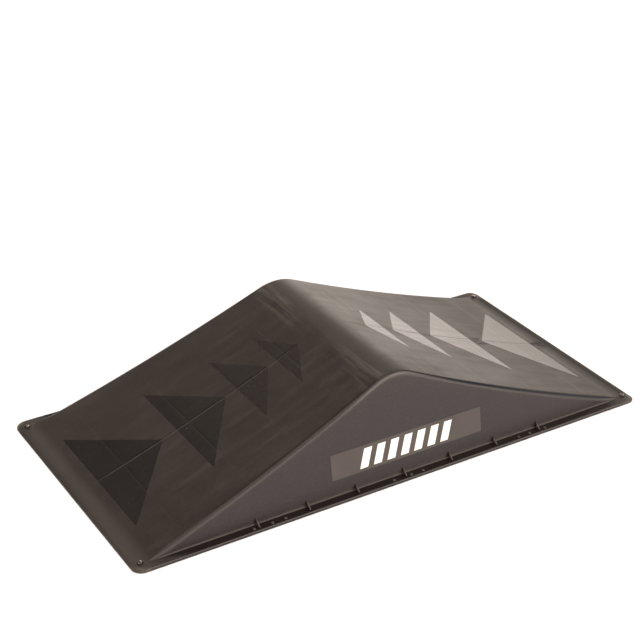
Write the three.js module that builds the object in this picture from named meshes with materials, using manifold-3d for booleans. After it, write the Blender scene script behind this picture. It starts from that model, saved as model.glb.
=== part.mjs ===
// Double-sided riding ramp for skateboards, scooters and BMX bikes.
// A ribbed plastic moulding with two concave slopes, drafted side walls and a base flange,
// standing on four bolted rubber feet, with arrow films on its slopes and a label film on each side.
// Millimetres. X runs along the ramp, Y across it, Z up from the ground under the ramp's centre.

import * as THREE from 'three';
import { mergeVertices } from 'three/addons/utils/BufferGeometryUtils.js';
import Module from 'manifold-3d';

const wasm = await Module();
wasm.setup();

// Footprint and flange
const LENGTH = 1200;
const WIDTH = 590;
const CORNER_RADIUS = 22;
const FLANGE_TOP = 7;
const GROUND_GAP = 1; // the flange's lower edge clears the ground, and the rubber feet carry the ramp
const NOSE_LENGTH = 30; // the ends round down to the ground over this length

// Riding surface: slope grows from the foot to the ridge, then rolls over the top
const DECK_FOOT_X = 566;
const FOOT_SLOPE = 0.32;
const RIDGE_SLOPE = 0.457;
const RIDGE_BLEND_X = 42;

// Side walls, and the round edge where the deck turns down into them
const WALL_FOOT_Y = 274; // half the width over the walls, at the flange's top
const WALL_DRAFT = 0.1785; // how far a wall leans in for each unit of height
const WALL_LEAN = Math.atan(WALL_DRAFT);
const EDGE_RADIUS = 15; // less near the feet, where the walls run out
const LEAST_EDGE_RADIUS = 0.4;
const EDGE_STEPS = 5;

// Moulding
const SKIN = 3;
const GAP = 0.3; // clearance that keeps neighbouring solids apart
const RIB_THICKNESS = 2.6;
const RIB_PITCH = 112.5;
const RIB_PLACES = [-3, -2, -1, 0, 1, 2, 3]; // in pitches from the middle; a gusset stands at each
const OUTER_RIB_X = 484;
const SPINE_END_X = 545;
const CROWN_END_X = 50; // the ridge crown's panel ends just past the rolled-over top

// Gussets and pegs on the side flanges
const GUSSET_REACH = 14;
const GUSSET_HEIGHT = 13;
const GUSSET_THICKNESS = 2.2;
const GUSSET_TOE = 1.2; // height of the gusset's outer end
const ROOT_DEPTH = 1; // how far gussets and pegs reach down into the flange
const PEG_RADIUS = 3;
const PEG_HEIGHT = 2.8;
const PEG_Y = 288;
const PEG_XS = [-350, -310, -281, -31, 10, 39, 281, 310, 350];

// Corner fixings
const SCREW_X = 580;
const SCREW_Y = 270;
const SCREW_HEAD_RADIUS = 5.75;
const SCREW_HEAD_HEIGHT = 2.8;
const SCREW_RIM_HEIGHT = 0.8; // the straight part of the head, under its dome
const SHANK_RADIUS = 2.5;
const SHANK_END_Z = 0.6;
const RECESS = { length: 6, width: 1.2, depth: 1.8 };
const NUT = { flats: 8, height: 2.2, bottom: 0.4 };
const FOOT = { x: 574, y: 267, size: 36, radius: 8 };

// Films: arrows listed from the foot to the ridge, each with its base, its tip and half its width
const FILM_THICKNESS = 0.4;
const FILM_LIFT = 0.15;
const ARROWS = [
  { base: 541, tip: 397, half: 173 },
  { base: 364, tip: 253, half: 155 },
  { base: 227, tip: 154, half: 123 },
  { base: 132, tip: 83, half: 101 },
];
const LABEL = { left: -164, right: 196, bottom: 40, top: 93 };

// Cutting solids
const CUT = 1; // how far a cut runs past the face that it opens
const FAR = 400; // half the size of a cutting solid, wider and taller than the ramp
const BELOW = -5; // a level under the ground, where cutting solids end

// How finely curves are drawn
const ROUND_SIDES = 32;
const PEG_SIDES = 16;
const CORNER_SEGMENTS = 10;
const SLOPE_STEPS = 20;
const CROWN_STEPS = 12;
const NOSE_STEPS = 12;
const DOME_STEPS = 8;
const SLOPE_SAMPLE = 0.5; // half the run over which the deck's slope is taken
const SAME_POINT = 1e-4;

const plastic = new THREE.MeshStandardMaterial({ color: 0x3b3430, roughness: 0.42, metalness: 0 });
const film = new THREE.MeshStandardMaterial({ color: 0x2c2724, roughness: 0.16, metalness: 0 });
const labelFilm = new THREE.MeshStandardMaterial({ color: 0x6a5f58, roughness: 0.25, metalness: 0 });
const rubber = new THREE.MeshStandardMaterial({ color: 0x161616, roughness: 0.85, metalness: 0 });
const steel = new THREE.MeshStandardMaterial({ color: 0x6b6763, roughness: 0.3, metalness: 1 });

// ---------------------------------------------------------------- solids and booleans

function toSolid(geometry) {
  const bare = geometry.clone();
  bare.deleteAttribute('normal');
  bare.deleteAttribute('uv');
  const merged = mergeVertices(bare, SAME_POINT);
  const vertProperties = Float32Array.from(merged.attributes.position.array);
  const triVerts = Uint32Array.from(merged.index.array);
  return new wasm.Manifold(new wasm.Mesh({ numProp: 3, vertProperties, triVerts }));
}

function toGeometry(solid) {
  const mesh = solid.getMesh();
  const geometry = new THREE.BufferGeometry();
  geometry.setAttribute('position', new THREE.Float32BufferAttribute(mesh.vertProperties, 3));
  geometry.setIndex(Array.from(mesh.triVerts));
  geometry.computeVertexNormals();
  return geometry;
}

function block(xs, ys, zs) {
  const geometry = new THREE.BoxGeometry(xs[1] - xs[0], ys[1] - ys[0], zs[1] - zs[0]);
  geometry.translate((xs[0] + xs[1]) / 2, (ys[0] + ys[1]) / 2, (zs[0] + zs[1]) / 2);
  return toSolid(geometry);
}

function upright(radius, bottom, top, x, y, sides = ROUND_SIDES) {
  const geometry = new THREE.CylinderGeometry(radius, radius, top - bottom, sides);
  geometry.rotateX(Math.PI / 2);
  geometry.translate(x, y, (bottom + top) / 2);
  return toSolid(geometry);
}

function extrude(shape, depth) {
  return new THREE.ExtrudeGeometry(shape, { depth, bevelEnabled: false, curveSegments: CORNER_SEGMENTS });
}

// A side-view outline of [x, z] points, swept across the ramp.
function sweepAcross(points, halfWidth) {
  const shape = new THREE.Shape(points.map(([x, z]) => new THREE.Vector2(x, z)));
  const geometry = extrude(shape, 2 * halfWidth);
  geometry.rotateX(Math.PI / 2);
  geometry.translate(0, halfWidth, 0);
  return toSolid(geometry);
}

// An end-view outline of [y, z] points, swept along the ramp from x0 to x1.
function sweepAlong(points, x0, x1) {
  const shape = new THREE.Shape(points.map(([y, z]) => new THREE.Vector2(y, z)));
  const geometry = extrude(shape, x1 - x0);
  const turn = new THREE.Matrix4().makeBasis(
    new THREE.Vector3(0, 1, 0),
    new THREE.Vector3(0, 0, 1),
    new THREE.Vector3(1, 0, 0),
  );
  geometry.applyMatrix4(turn);
  geometry.translate(x0, 0, 0);
  return toSolid(geometry);
}

// A solid through [y, z] outlines at a row of stations along the ramp. Every outline has the same number
// of points and runs anticlockwise seen from +X.
function loft(stations, outlineAt) {
  const outlines = stations.map(outlineAt);
  const count = outlines[0].length;
  const last = (stations.length - 1) * count;
  const positions = outlines.flatMap((outline, i) => outline.flatMap(([y, z]) => [stations[i], y, z]));
  const index = [];
  for (let start = 0; start < last; start += count) {
    for (let j = 0; j < count; j += 1) {
      const here = start + j;
      const next = start + ((j + 1) % count);
      index.push(here, next, next + count, here, next + count, here + count);
    }
  }
  for (let j = 1; j < count - 1; j += 1) {
    index.push(0, j + 1, j, last, last + j, last + j + 1);
  }
  const geometry = new THREE.BufferGeometry();
  geometry.setAttribute('position', new THREE.Float32BufferAttribute(positions, 3));
  geometry.setIndex(index);
  return toSolid(geometry);
}

function roundedRectangle(width, height, radius) {
  const shape = new THREE.Shape();
  const x = width / 2 - radius;
  const y = height / 2 - radius;
  shape.absarc(x, y, radius, 0, Math.PI / 2);
  shape.absarc(-x, y, radius, Math.PI / 2, Math.PI);
  shape.absarc(-x, -y, radius, Math.PI, 1.5 * Math.PI);
  shape.absarc(x, -y, radius, 1.5 * Math.PI, 2 * Math.PI);
  return shape;
}

function roundedSlab(width, height, radius, bottom, top) {
  const geometry = extrude(roundedRectangle(width, height, radius), top - bottom);
  geometry.translate(0, 0, bottom);
  return toSolid(geometry);
}

// ---------------------------------------------------------------- the ramp's surfaces

function deckHeight(x) {
  const distance = Math.min(Math.abs(x), DECK_FOOT_X);
  const run = DECK_FOOT_X - RIDGE_BLEND_X;
  const climb = DECK_FOOT_X - Math.max(distance, RIDGE_BLEND_X);
  const slope = FOOT_SLOPE * climb + ((RIDGE_SLOPE - FOOT_SLOPE) * climb ** 2) / (2 * run);
  const inner = Math.min(distance, RIDGE_BLEND_X);
  const crown = (RIDGE_SLOPE * (RIDGE_BLEND_X ** 2 - inner ** 2)) / (2 * RIDGE_BLEND_X);
  return FLANGE_TOP + slope + crown;
}

function noseHeight(x) {
  const start = LENGTH / 2 - NOSE_LENGTH;
  const part = Math.max(0, Math.abs(x) - start) / NOSE_LENGTH;
  return GROUND_GAP + (FLANGE_TOP - GROUND_GAP) * Math.sqrt(Math.max(0, 1 - part ** 2));
}

// Distance between the vertical and the square thickness of the skin where the deck slopes.
function slantFactor(x) {
  const rise = deckHeight(x + SLOPE_SAMPLE) - deckHeight(x - SLOPE_SAMPLE);
  const slope = rise / (2 * SLOPE_SAMPLE);
  return Math.sqrt(1 + slope ** 2);
}

function steps(from, to, count) {
  return Array.from({ length: count + 1 }, (_, i) => from + ((to - from) * i) / count);
}

const deckStations = [
  ...steps(-DECK_FOOT_X, -RIDGE_BLEND_X, SLOPE_STEPS),
  ...steps(-RIDGE_BLEND_X, RIDGE_BLEND_X, CROWN_STEPS).slice(1),
  ...steps(RIDGE_BLEND_X, DECK_FOOT_X, SLOPE_STEPS).slice(1),
];

// Half the width over the walls at a height, with the walls moved in square to themselves by inset.
function wallHalfWidth(z, inset) {
  return WALL_FOOT_Y - WALL_DRAFT * (z - FLANGE_TOP) - inset / Math.cos(WALL_LEAN);
}

// The hump's outline across the ramp at x, moved in square to its faces by inset.
function humpOutline(x, inset, bottom) {
  const top = deckHeight(x) - inset * slantFactor(x);
  const outerRadius = Math.min(EDGE_RADIUS, deckHeight(x) - FLANGE_TOP);
  const radius = Math.max(LEAST_EDGE_RADIUS, outerRadius - inset);
  const centreZ = top - radius;
  const tangentZ = centreZ + radius * Math.sin(WALL_LEAN);
  const centreY = wallHalfWidth(tangentZ, inset) - radius * Math.cos(WALL_LEAN);
  const edge = steps(WALL_LEAN, Math.PI / 2, EDGE_STEPS).map((a) => [
    centreY + radius * Math.cos(a),
    centreZ + radius * Math.sin(a),
  ]);
  const right = [[wallHalfWidth(bottom, inset), bottom], ...edge];
  const left = right.map(([y, z]) => [-y, z]).reverse();
  return [...right, ...left];
}

// The hump of the two slopes between the walls.
function hump(inset, bottom) {
  return loft(deckStations, (x) => humpOutline(x, inset, bottom));
}

// Everything between the planes of the side walls, moved in square to them by inset.
function betweenWalls(inset) {
  return sweepAlong(
    [
      [-wallHalfWidth(BELOW, inset), BELOW],
      [wallHalfWidth(BELOW, inset), BELOW],
      [wallHalfWidth(FAR, inset), FAR],
      [-wallHalfWidth(FAR, inset), FAR],
    ],
    -LENGTH,
    LENGTH,
  );
}

// Everything under the noses that round the two ends off, lowered by inset.
function underNoses(inset) {
  const start = LENGTH / 2 - NOSE_LENGTH;
  const stations = steps(0, Math.PI / 2, NOSE_STEPS).map((a) => start + NOSE_LENGTH * Math.sin(a));
  const right = stations.map((x) => [x, noseHeight(x) - inset]);
  const left = right.map(([x, z]) => [-x, z]);
  const corners = [[-LENGTH / 2, BELOW], [LENGTH / 2, BELOW]];
  return sweepAcross([...corners, ...right.reverse(), ...left], FAR);
}

// The base slab with its round corners and nosed ends, shrunk by inset.
function baseSlab(inset, bottom) {
  const radius = CORNER_RADIUS - inset;
  return roundedSlab(LENGTH - 2 * inset, WIDTH - 2 * inset, radius, bottom, FLANGE_TOP + CUT)
    .intersect(underNoses(inset));
}

// The hollow under a skin of the given thickness.
function hollow(thickness) {
  return hump(thickness, BELOW).add(baseSlab(thickness, BELOW));
}

const outerBody = hump(0, GROUND_GAP).add(baseSlab(0, GROUND_GAP));
const moulding = outerBody.subtract(hollow(SKIN));
const ribRoom = hump(SKIN + GAP, GROUND_GAP);

// ---------------------------------------------------------------- the moulding's panels

// Deck and wall panels part halfway round the edge, so that both stay nearly flat.
const PANEL_END_X = DECK_FOOT_X - GAP / 2;
const PANEL_SPLIT = 6; // from a wall's outer face, square to it

function slice(solid, x0, x1) {
  return solid.intersect(block([x0, x1], [-FAR, FAR], [-FAR, FAR]));
}

function half(solid, side) {
  const ys = side < 0 ? [-FAR, 0] : [0, FAR];
  return solid.intersect(block([-LENGTH, LENGTH], ys, [-FAR, FAR]));
}

const deckSkin = moulding.intersect(betweenWalls(PANEL_SPLIT + GAP));
const wallSkin = moulding.intersect(betweenWalls(0).subtract(betweenWalls(PANEL_SPLIT)));
const flangeSkin = moulding.subtract(betweenWalls(-GAP));

function deckPanel(side) {
  const ends = [side * PANEL_END_X, side * (CROWN_END_X + GAP / 2)].sort((a, b) => a - b);
  return slice(deckSkin, ends[0], ends[1]);
}

function ridgeCrown() {
  return slice(deckSkin, -CROWN_END_X + GAP / 2, CROWN_END_X - GAP / 2);
}

function sideWall(side) {
  return slice(half(wallSkin, side), -PANEL_END_X, PANEL_END_X);
}

function endLip(side) {
  const ends = side < 0 ? [-LENGTH, -DECK_FOOT_X - GAP / 2] : [DECK_FOOT_X + GAP / 2, LENGTH];
  const holes = [-1, 1].map((across) =>
    upright(SHANK_RADIUS + GAP, 0, FLANGE_TOP + CUT, side * SCREW_X, across * SCREW_Y),
  );
  return holes.reduce((lip, hole) => lip.subtract(hole), slice(moulding, ends[0], ends[1]));
}

function gusset(x, side) {
  const root = FLANGE_TOP - ROOT_DEPTH;
  const tip = FLANGE_TOP + GUSSET_HEIGHT;
  const outer = WALL_FOOT_Y + GUSSET_REACH;
  const outline = [
    [wallHalfWidth(root, -2 * GAP), root],
    [outer, root],
    [outer, FLANGE_TOP + GUSSET_TOE],
    [wallHalfWidth(tip, -2 * GAP), tip],
  ];
  const placed = outline.map(([y, z]) => [side * y, z]);
  const ordered = side < 0 ? placed.reverse() : placed;
  return sweepAlong(ordered, x - GUSSET_THICKNESS / 2, x + GUSSET_THICKNESS / 2);
}

function sideFlange(side) {
  const strip = slice(half(flangeSkin, side), -PANEL_END_X, PANEL_END_X);
  const gussets = RIB_PLACES.map((i) => gusset(i * RIB_PITCH, side));
  const pegs = PEG_XS.map((x) =>
    upright(PEG_RADIUS, FLANGE_TOP - ROOT_DEPTH, FLANGE_TOP + PEG_HEIGHT, x, side * PEG_Y, PEG_SIDES),
  );
  return [...gussets, ...pegs].reduce((sum, piece) => sum.add(piece), strip);
}

// ---------------------------------------------------------------- ribs in the hollow

const crossRibXs = [
  -OUTER_RIB_X,
  ...RIB_PLACES.map((i) => i * RIB_PITCH),
  OUTER_RIB_X,
];

function crossRib(x) {
  return slice(ribRoom, x - RIB_THICKNESS / 2, x + RIB_THICKNESS / 2);
}

function spineRib(x0, x1) {
  const blade = block([x0, x1], [-RIB_THICKNESS / 2, RIB_THICKNESS / 2], [-FAR, FAR]);
  return ribRoom.intersect(blade);
}

function spineSpans() {
  const clear = RIB_THICKNESS / 2 + GAP;
  const stops = [-SPINE_END_X - clear, ...crossRibXs, SPINE_END_X + clear];
  return stops.slice(1).map((x, i) => [stops[i] + clear, x - clear]);
}

// ---------------------------------------------------------------- corner fixings

function hexagon(flats, bottom, top, x, y) {
  return upright(flats / Math.sqrt(3), bottom, top, x, y, 6);
}

function cornerScrew(x, y) {
  const seat = FLANGE_TOP + GAP / 2;
  const rim = seat + SCREW_RIM_HEIGHT;
  const domeHeight = SCREW_HEAD_HEIGHT - SCREW_RIM_HEIGHT;
  const dome = steps(0, Math.PI / 2, DOME_STEPS).map(
    (a) => new THREE.Vector2(SCREW_HEAD_RADIUS * Math.cos(a), rim + domeHeight * Math.sin(a)),
  );
  dome[dome.length - 1].x = 0;
  const profile = [
    new THREE.Vector2(0, SHANK_END_Z),
    new THREE.Vector2(SHANK_RADIUS, SHANK_END_Z),
    new THREE.Vector2(SHANK_RADIUS, seat),
    new THREE.Vector2(SCREW_HEAD_RADIUS, seat),
    ...dome,
  ];
  const geometry = new THREE.LatheGeometry(profile, ROUND_SIDES);
  geometry.rotateX(Math.PI / 2);
  geometry.translate(x, y, 0);
  const top = seat + SCREW_HEAD_HEIGHT;
  const depths = [top - RECESS.depth, top + CUT];
  const slot = (dx, dy) => block([x - dx / 2, x + dx / 2], [y - dy / 2, y + dy / 2], depths);
  return toSolid(geometry)
    .subtract(slot(RECESS.length, RECESS.width))
    .subtract(slot(RECESS.width, RECESS.length));
}

function footNut(x, y) {
  const top = NUT.bottom + NUT.height;
  const bore = upright(SHANK_RADIUS + GAP, NUT.bottom - CUT, top + CUT, x, y);
  return hexagon(NUT.flats, NUT.bottom, top, x, y).subtract(bore);
}

function rubberFoot(sideX, sideY) {
  const x = sideX * SCREW_X;
  const y = sideY * SCREW_Y;
  const geometry = extrude(roundedRectangle(FOOT.size, FOOT.size, FOOT.radius), FLANGE_TOP - SKIN - GAP);
  geometry.translate(sideX * FOOT.x, sideY * FOOT.y, 0);
  const pocket = hexagon(NUT.flats + 2 * GAP, -CUT, NUT.bottom + NUT.height + GAP, x, y);
  return toSolid(geometry)
    .intersect(hollow(SKIN + GAP))
    .subtract(pocket)
    .subtract(upright(SHANK_RADIUS + GAP, -CUT, FLANGE_TOP, x, y));
}

// ---------------------------------------------------------------- films

const filmSkin = hump(-FILM_LIFT - FILM_THICKNESS, GROUND_GAP).subtract(hump(-FILM_LIFT, BELOW));

function arrowFilm({ base, tip, half: halfWidth }, side) {
  const corners = [[side * base, -halfWidth], [side * tip, 0], [side * base, halfWidth]];
  const ordered = side < 0 ? corners.reverse() : corners;
  const shape = new THREE.Shape(ordered.map(([x, y]) => new THREE.Vector2(x, y)));
  return toSolid(extrude(shape, FAR)).intersect(filmSkin);
}

function labelFor(side) {
  const xs = side < 0 ? [LABEL.left, LABEL.right] : [-LABEL.right, -LABEL.left];
  return half(filmSkin, side).intersect(block(xs, [-FAR, FAR], [LABEL.bottom, LABEL.top]));
}

// ---------------------------------------------------------------- assembly

const ramp = new THREE.Group();

function place(name, solid, material) {
  const mesh = new THREE.Mesh(toGeometry(solid), material);
  mesh.name = name;
  ramp.add(mesh);
}

const ends = [
  { name: 'left', side: -1 },
  { name: 'right', side: 1 },
];
const flanks = [
  { name: 'front', side: -1 },
  { name: 'back', side: 1 },
];

place('ridge_crown', ridgeCrown(), plastic);
for (const end of ends) {
  place(`deck_${end.name}`, deckPanel(end.side), plastic);
  place(`end_lip_${end.name}`, endLip(end.side), plastic);
  ARROWS.forEach((arrow, i) => {
    place(`arrow_film_${end.name}_${i + 1}`, arrowFilm(arrow, end.side), film);
  });
}
for (const flank of flanks) {
  place(`side_wall_${flank.name}`, sideWall(flank.side), plastic);
  place(`side_flange_${flank.name}`, sideFlange(flank.side), plastic);
  place(`side_label_${flank.name}`, labelFor(flank.side), labelFilm);
}
crossRibXs.forEach((x, i) => place(`cross_rib_${i + 1}`, crossRib(x), plastic));
spineSpans().forEach(([x0, x1], i) => place(`spine_rib_${i + 1}`, spineRib(x0, x1), plastic));
for (const flank of flanks) {
  for (const end of ends) {
    const corner = `${flank.name}_${end.name}`;
    const x = end.side * SCREW_X;
    const y = flank.side * SCREW_Y;
    place(`corner_screw_${corner}`, cornerScrew(x, y), steel);
    place(`foot_nut_${corner}`, footNut(x, y), steel);
    place(`rubber_foot_${corner}`, rubberFoot(end.side, flank.side), rubber);
  }
}

export default ramp;
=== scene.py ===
"""Double-sided riding ramp: the continuous moulding, its films, screws and materials, light and camera.

Metres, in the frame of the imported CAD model: X along the ramp, Y across it, Z up from the ground.
"""

import math

import bmesh
import bpy
import numpy as np
from mathutils import Matrix, Vector


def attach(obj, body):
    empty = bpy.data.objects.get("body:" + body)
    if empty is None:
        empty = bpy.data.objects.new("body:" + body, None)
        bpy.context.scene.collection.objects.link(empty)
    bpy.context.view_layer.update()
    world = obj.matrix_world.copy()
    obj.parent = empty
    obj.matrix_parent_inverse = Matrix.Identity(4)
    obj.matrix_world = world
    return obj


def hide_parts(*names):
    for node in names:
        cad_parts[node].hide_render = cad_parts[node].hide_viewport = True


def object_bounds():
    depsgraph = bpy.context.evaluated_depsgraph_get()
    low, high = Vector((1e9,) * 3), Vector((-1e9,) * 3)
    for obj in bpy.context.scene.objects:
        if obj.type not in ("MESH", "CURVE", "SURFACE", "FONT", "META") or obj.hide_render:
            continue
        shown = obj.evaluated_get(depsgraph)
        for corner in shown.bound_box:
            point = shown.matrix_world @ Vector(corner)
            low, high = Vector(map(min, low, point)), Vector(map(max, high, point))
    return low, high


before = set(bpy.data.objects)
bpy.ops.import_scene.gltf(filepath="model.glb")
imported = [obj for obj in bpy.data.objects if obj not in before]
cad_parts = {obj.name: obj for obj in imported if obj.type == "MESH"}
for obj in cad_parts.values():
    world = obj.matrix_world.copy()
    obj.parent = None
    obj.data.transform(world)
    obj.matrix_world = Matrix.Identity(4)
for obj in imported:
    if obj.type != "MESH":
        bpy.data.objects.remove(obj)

cad_low, cad_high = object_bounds()
MM = 0.001

# ---------------------------------------------------------------- sizes

HALF_LENGTH = cad_high.x
HALF_WIDTH = cad_high.y
CORNER_RADIUS = 22 * MM
FLANGE_TOP = 7 * MM
GROUND_GAP = 1 * MM
NOSE_LENGTH = 30 * MM  # the ends round down to the ground over this length
NOSE_TIP = 0.5 * MM  # the upright part of the ends, under the rounding
RIM_RADIUS = 1.5 * MM  # rounding of the side flanges' outer edge

DECK_FOOT_X = 566 * MM
FOOT_SLOPE = 0.32
RIDGE_SLOPE = 0.457
RIDGE_BLEND_X = 42 * MM
FOOT_BLEND = 3.5 * MM  # how softly the deck runs out into the flange

WALL_FOOT_Y = 274 * MM
WALL_DRAFT = 0.1785
WALL_LEAN = math.atan(WALL_DRAFT)
EDGE_RADIUS = 12 * MM  # where the deck turns down into the walls
FILLET_RADIUS = 2.2 * MM  # where the walls meet the flange
SKIN = 3 * MM

RIB_PITCH = 112.5 * MM
OUTER_RIB_X = 484 * MM
RIB_XS = [RIB_PITCH, 2 * RIB_PITCH, 3 * RIB_PITCH, OUTER_RIB_X]
SPINE_START_X = 70 * MM
SPINE_END_X = 545 * MM
SINK_DEPTH = 0.08 * MM  # shallow lines that the cross ribs leave on the deck
SPINE_SINK_DEPTH = 0.42 * MM  # the line along the middle of the left slope
RIGHT_SPINE_SHARE = 0.45  # its depth on the right slope, as a share of that
SINK_WIDTH = 1.5 * MM
SKIN_SAG = 0.12 * MM  # the deck's skin sinks this far between two ribs
SAG_REACH_Y = 250 * MM  # each half of the deck sags between the middle and this line
SINK_END_Y = 225 * MM  # all of it has faded out at this line

FILM_LIFT = 0.05 * MM
FILM_THICKNESS = 0.25 * MM
# Base, tip and half width of each arrow in mm, from the foot up.
ARROWS = [(541, 397, 173), (364, 253, 155), (227, 154, 123), (132, 83, 101)]
LABEL = {"left": -164 * MM, "right": 196 * MM, "bottom": 40 * MM, "top": 93 * MM, "corner": 1.5 * MM}
PRINT_LIFT = FILM_LIFT + FILM_THICKNESS + 0.02 * MM  # the printed bars lie on the label
PRINT_THICKNESS = 0.06 * MM


# ---------------------------------------------------------------- the ramp's surfaces


def fade(distance, width):
    """None up to no distance, rising to one over the width."""
    return np.clip(distance / width, 0, 1)


def smooth_max(a, b, width):
    overlap = np.maximum(width - np.abs(a - b), 0)
    return np.maximum(a, b) + overlap**2 / (4 * width)


def slope_rise(x):
    """Height of the riding surface over the flange's top. Past the foot it goes on down."""
    distance = np.abs(x)
    run = DECK_FOOT_X - RIDGE_BLEND_X
    climb = DECK_FOOT_X - np.maximum(distance, RIDGE_BLEND_X)
    bend = (RIDGE_SLOPE - FOOT_SLOPE) * np.maximum(climb, 0) ** 2 / (2 * run)
    inner = np.minimum(distance, RIDGE_BLEND_X)
    crown = RIDGE_SLOPE * (RIDGE_BLEND_X**2 - inner**2) / (2 * RIDGE_BLEND_X)
    return FOOT_SLOPE * climb + bend + crown


def slant(x):
    step = 0.5 * MM
    slope = (slope_rise(x + step) - slope_rise(x - step)) / (2 * step)
    return np.sqrt(1 + slope**2)


def flange_height(x, inset):
    """The level flange and its rounded noses, for the outer face (inset 0) or the inner one."""
    start = HALF_LENGTH - NOSE_LENGTH
    part = np.clip((np.abs(x) - start) / (NOSE_LENGTH - inset), 0, 1)
    tip = GROUND_GAP + NOSE_TIP
    return tip + (FLANGE_TOP - inset - tip) * np.sqrt(1 - part**2)


def deck_height(x, inset=0.0):
    slope = FLANGE_TOP + slope_rise(x) - inset * slant(x)
    return smooth_max(slope, flange_height(x, inset), FOOT_BLEND)


def sink(x, y):
    """How far the outer face lies under its ideal shape: rib lines, and the sag of the skin between ribs."""
    across = sum(np.exp(-(((np.abs(x) - rib) / SINK_WIDTH) ** 2)) for rib in RIB_XS)
    spine = np.exp(-((y / SINK_WIDTH) ** 2)) * np.where(x < 0, 1.0, RIGHT_SPINE_SHARE)
    spine = spine * fade(np.abs(x) - SPINE_START_X, 35 * MM) * fade(SPINE_END_X - np.abs(x), 20 * MM)
    sag = np.sin(np.pi * np.abs(x) / RIB_PITCH) ** 2 * np.sin(np.pi * np.abs(y) / SAG_REACH_Y) ** 2
    sag = sag * fade(DECK_FOOT_X - np.abs(x), 60 * MM)
    total = SINK_DEPTH * across + SPINE_SINK_DEPTH * spine + SKIN_SAG * sag
    return total * fade(SINK_END_Y - np.abs(y), 40 * MM)


# ---------------------------------------------------------------- the moulding

ARC_STEPS = 8
WALL_STEPS = 10
FILLET_STEPS = 4
DECK_STEPS = 14
SPINE_LINES = np.array([0, 0.8, 1.6, 2.4, 3.2, 4.5]) * MM  # close lines beside the middle
RIB_STATIONS = (-5, -3, -2, -1, 0, 1, 2, 3, 5)  # mm before and behind a rib line
GRID_X = 582 * MM  # the grid of stations and lines ends here, and rings go on to the outline
GRID_Y = 277 * MM
FOOT_START_X = 550 * MM  # stations are closer together from here to the foot's end
FOOT_END_X = 578 * MM
REST_Y = 268 * MM  # where the edge's lines start once the wall has run out
VANISHING = 3 * MM  # the wall's height under which its lines spread out to their rest places
MOULDING_SHARP = 38  # degrees between faces, over which an edge is shaded sharp
# Rings inside the outline, in mm, for the outer face and the inner one.
RING_STEPS = [13, 9, 6, 4, 3, 2.2, 1.5, 1.2, 0.9, 0.6, 0.35, 0.15, 0.04, 0]
INNER_RING_STEPS = [13, 9, 6.5, 5, 4, 3.3, 3]


def stations():
    """Places along the ramp for the grid: close together at the ridge, the rib lines and the foot."""
    xs = set(np.linspace(0, RIDGE_BLEND_X, 13)) | set(np.linspace(RIDGE_BLEND_X, FOOT_START_X, 50))
    xs |= set(np.linspace(FOOT_START_X, FOOT_END_X, 15)) | set(np.linspace(FOOT_END_X, GRID_X, 7))
    for rib in RIB_XS:
        xs = {x for x in xs if abs(x - rib) > 5.5 * MM} | {rib + i * MM for i in RIB_STATIONS}
    xs = sorted(xs)
    kept = [xs[0]]
    for x in xs[1:]:
        if x - kept[-1] > 0.2 * MM:
            kept.append(x)
    kept[-1] = GRID_X
    return np.array([-x for x in kept[:0:-1]] + kept)


def wall_y(z, inset):
    return WALL_FOOT_Y - WALL_DRAFT * (z - FLANGE_TOP) - inset / math.cos(WALL_LEAN)


def edge_lines(xs, inset):
    """Lines over the round edge, the wall and its fillet to the flange: y and z by station."""
    top = deck_height(xs, inset)
    base = flange_height(xs, inset)
    rise = np.maximum(top - base, 1e-6)
    turn = 1 - math.sin(WALL_LEAN)
    outer_radius = np.minimum(EDGE_RADIUS, 0.9 * rise)
    radius = np.maximum(outer_radius - inset, 0.1 * np.minimum(rise, MM))
    fillet = np.minimum(FILLET_RADIUS, 0.3 * rise) + inset
    fillet = np.clip(fillet, 0, np.maximum(rise / turn - radius, 0))

    ys, zs = [], []
    centre_z = top - radius
    centre_y = wall_y(top - turn * radius, inset) - radius * math.cos(WALL_LEAN)
    for a in np.linspace(math.pi / 2, WALL_LEAN, ARC_STEPS + 1):
        ys.append(centre_y + radius * math.cos(a))
        zs.append(centre_z + radius * math.sin(a))
    foot_z = base + fillet
    foot_y = wall_y(base + turn * fillet, inset) + fillet * math.cos(WALL_LEAN)
    start = (ys[-1], zs[-1])
    end = (foot_y - fillet * math.cos(WALL_LEAN), foot_z - fillet * math.sin(WALL_LEAN))
    for i in range(1, WALL_STEPS + 1):
        part = i / WALL_STEPS
        ys.append(start[0] + (end[0] - start[0]) * part)
        zs.append(start[1] + (end[1] - start[1]) * part)
    for a in np.linspace(WALL_LEAN, math.pi / 2, FILLET_STEPS + 1)[1:]:
        ys.append(foot_y - fillet * math.cos(a))
        zs.append(foot_z - fillet * math.sin(a))
    ys.append(np.full_like(xs, GRID_Y))
    zs.append(base)

    ys, zs = np.array(ys).T, np.array(zs).T
    rest = np.linspace(0, 1, ys.shape[1])
    spread = np.clip(1 - rise / VANISHING, 0, 1)[:, None]
    spread = spread * spread * (3 - 2 * spread)
    rest_y = (REST_Y + (GRID_Y - REST_Y) * rest)[None, :]
    rest_z = top[:, None] - rise[:, None] * (rest * rest * (3 - 2 * rest))[None, :]
    return ys + (rest_y - ys) * spread, zs + (rest_z - zs) * spread


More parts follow.
